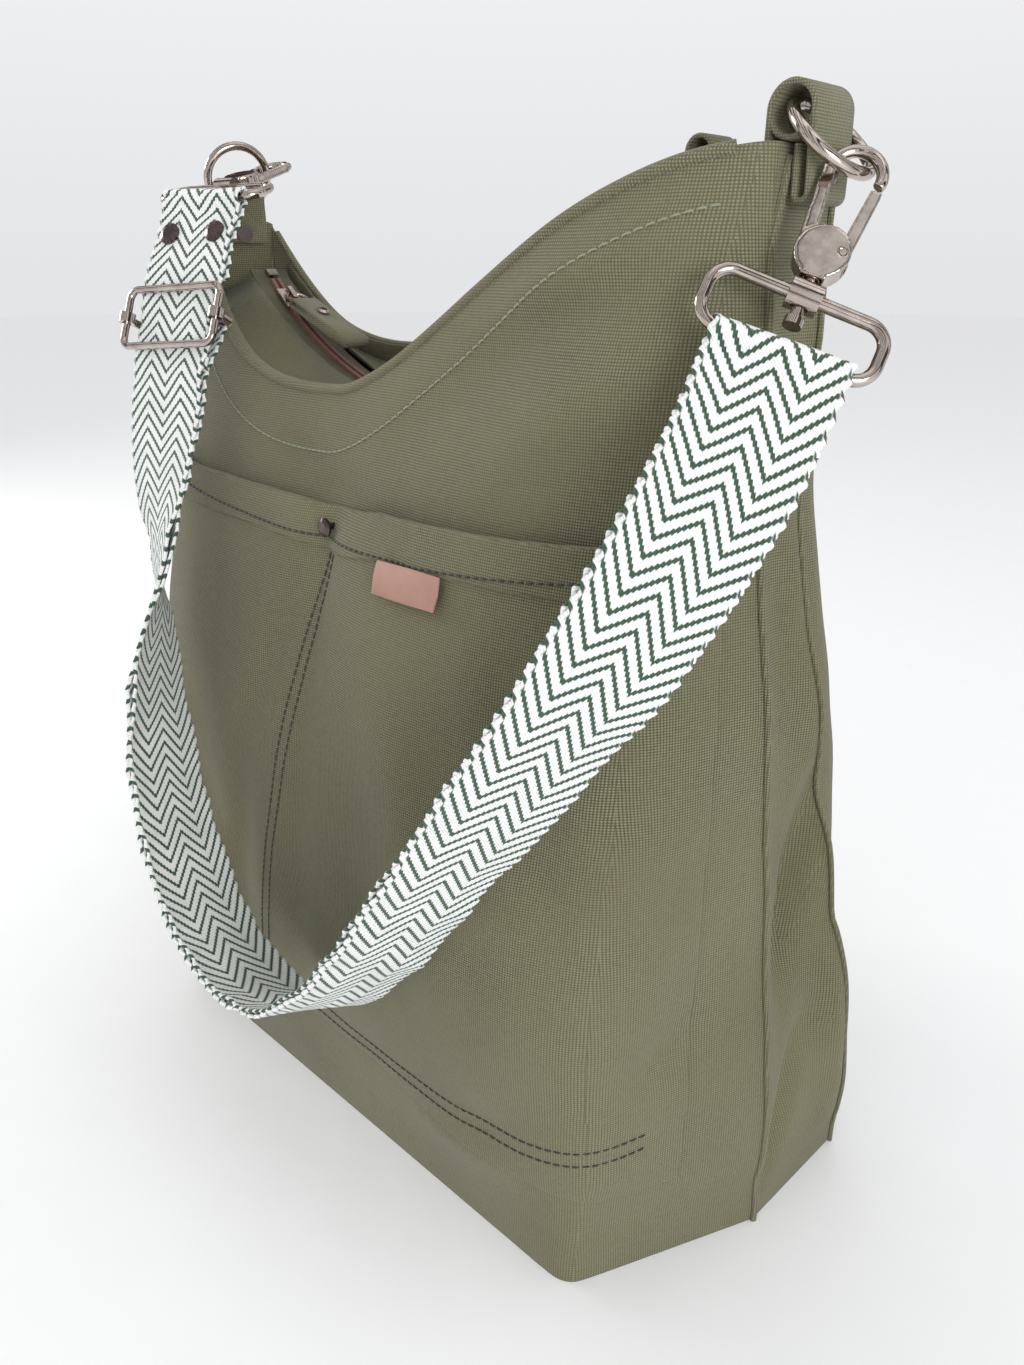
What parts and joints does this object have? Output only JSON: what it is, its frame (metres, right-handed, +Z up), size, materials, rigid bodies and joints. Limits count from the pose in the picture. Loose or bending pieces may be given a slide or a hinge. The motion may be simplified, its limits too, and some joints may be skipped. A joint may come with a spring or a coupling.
{
  "type": "hobo bag",
  "caption": "Canvas hobo bag with a sagging zipped mouth, front patch pocket and clip-on strap of patterned webbing.",
  "frame": {"origin": "middle of the base's underside, where the bag stands", "axes": "+Z up, +Y to the back, +X to the bag's right as seen from the front; the pocket faces -Y"},
  "size_m": [0.3479, 0.2151, 0.4017],
  "materials": {
    "canvas": "heavy olive cotton canvas, plain weave",
    "canvas_inside": "olive cotton canvas, inside face",
    "canvas_tab": "folded olive canvas strip",
    "zip_tape": "woven zip tape",
    "zip_teeth": "nylon coil, red-brown",
    "label_leather": "smooth dusty rose label, blank",
    "webbing": "white woven webbing with dark green chevrons",
    "nickel": "polished nickel plate",
    "dark_nickel": "dark polished nickel"
  },
  "bodies": {
    "bag": {"front_panel": "canvas", "back_panel": "canvas", "gusset_right": "canvas", "gusset_left": "canvas", "base_panel": "canvas", "front_pocket": "canvas", "label": "label_leather", "pocket_rivet": "nickel", "front_facing": "canvas_inside", "back_facing": "canvas_inside", "zip_panel_front": "canvas_inside", "zip_panel_back": "canvas_inside", "zip_tape_front": "zip_tape", "zip_tape_back": "zip_tape", "zip_teeth_front": "zip_teeth", "zip_teeth_back": "zip_teeth", "zip_stops": "nickel", "tab_right": "canvas_tab", "tab_left": "canvas_tab", "tab_rivet_right": "dark_nickel", "tab_rivet_left": "dark_nickel", "key_loop": "canvas_tab"},
    "zip_slider": {"zip_slider": "nickel"},
    "zip_pull": {"zip_pull_ring": "nickel"},
    "zip_pull_strip": {"zip_pull_strip": "canvas_tab", "zip_pull_rivet": "nickel"},
    "ring_right": {"ring_right": "nickel"},
    "ring_left": {"ring_left": "nickel"},
    "key_ring": {"key_ring": "nickel"},
    "strap": {"strap_webbing": "webbing", "strap_rivets": "dark_nickel", "slider_bar": "nickel", "web_loop_right": "nickel", "ferrule_right": "nickel", "web_loop_left": "nickel", "ferrule_left": "nickel"},
    "hook_right": {"hook_right": "nickel", "gate_pin_right": "nickel", "gate_spring_right": "nickel", "swivel_post_right": "nickel"},
    "gate_right": {"gate_right": "nickel"},
    "hook_left": {"hook_left": "nickel", "gate_pin_left": "nickel", "gate_spring_left": "nickel", "swivel_post_left": "nickel"},
    "gate_left": {"gate_left": "nickel"},
    "slider_frame": {"slider_frame": "nickel"}
  },
  "joints": [
    {"name": "zip_slide", "type": "hinge", "parent": "bag", "child": "zip_slider", "pos_m": [0, -0.002, 0.45981], "axis": [0, -1, 0], "range_deg": [0, 80]},
    {"name": "zip_pull_hinge", "type": "hinge", "parent": "zip_slider", "child": "zip_pull", "pos_m": [-0.10367, -0.002, 0.3395], "axis": [0, -1, 0], "range_deg": [0, 75]},
    {"name": "zip_strip_hinge", "type": "hinge", "parent": "zip_pull", "child": "zip_pull_strip", "pos_m": [-0.09519, -0.002, 0.33594], "axis": [0, -1, 0], "range_deg": [0, 8]},
    {"name": "ring_right_swing", "type": "hinge", "parent": "bag", "child": "ring_right", "pos_m": [0.144, -0.003, 0.3887], "axis": [0, 1, 0], "range_deg": [0, 2], "stiffness_Nm_per_rad": 0.05},
    {"name": "ring_left_swing", "type": "hinge", "parent": "bag", "child": "ring_left", "pos_m": [-0.1436, 0, 0.3787], "axis": [0.309, 0.9511, 0], "range_deg": [0, 3], "stiffness_Nm_per_rad": 0.05},
    {"name": "key_ring_swing", "type": "hinge", "parent": "bag", "child": "key_ring", "pos_m": [0.107, 0.006, 0.382], "axis": [0, 1, 0], "range_deg": [-35, 35]},
    {"name": "strap_lift", "type": "hinge", "parent": "bag", "child": "strap", "pos_m": [0.159, -0.003, 0.374], "axis": [-0.9979, 0.0511, 0.0409], "range_deg": [0, 8]},
    {"name": "hook_right_swivel", "type": "hinge", "parent": "strap", "child": "hook_right", "pos_m": [0.15997, -0.0258, 0.34309], "axis": [-0.0019, 0.5749, 0.8182], "range_deg": [-1, 4]},
    {"name": "gate_right_open", "type": "hinge", "parent": "hook_right", "child": "gate_right", "pos_m": [0.16428, -0.01628, 0.3523], "axis": [0.4992, -0.7085, 0.4989], "range_deg": [0, 22], "stiffness_Nm_per_rad": 0.02, "springref_deg": -11.46},
    {"name": "hook_left_swivel", "type": "hinge", "parent": "strap", "child": "hook_left", "pos_m": [-0.11964, -0.01971, 0.38147], "axis": [-0.3527, 0.8931, 0.2792], "range_deg": [0, 8]},
    {"name": "gate_left_open", "type": "hinge", "parent": "hook_left", "child": "gate_left", "pos_m": [-0.12889, -0.00991, 0.38499], "axis": [-0.0829, 0.2674, -0.96], "range_deg": [0, 22], "stiffness_Nm_per_rad": 0.02, "springref_deg": -11.46},
    {"name": "slider_shift", "type": "slide", "parent": "strap", "child": "slider_frame", "axis": [0.1916, -0.4024, -0.8952], "range_m": [-0.005, 0.005]}
  ]
}
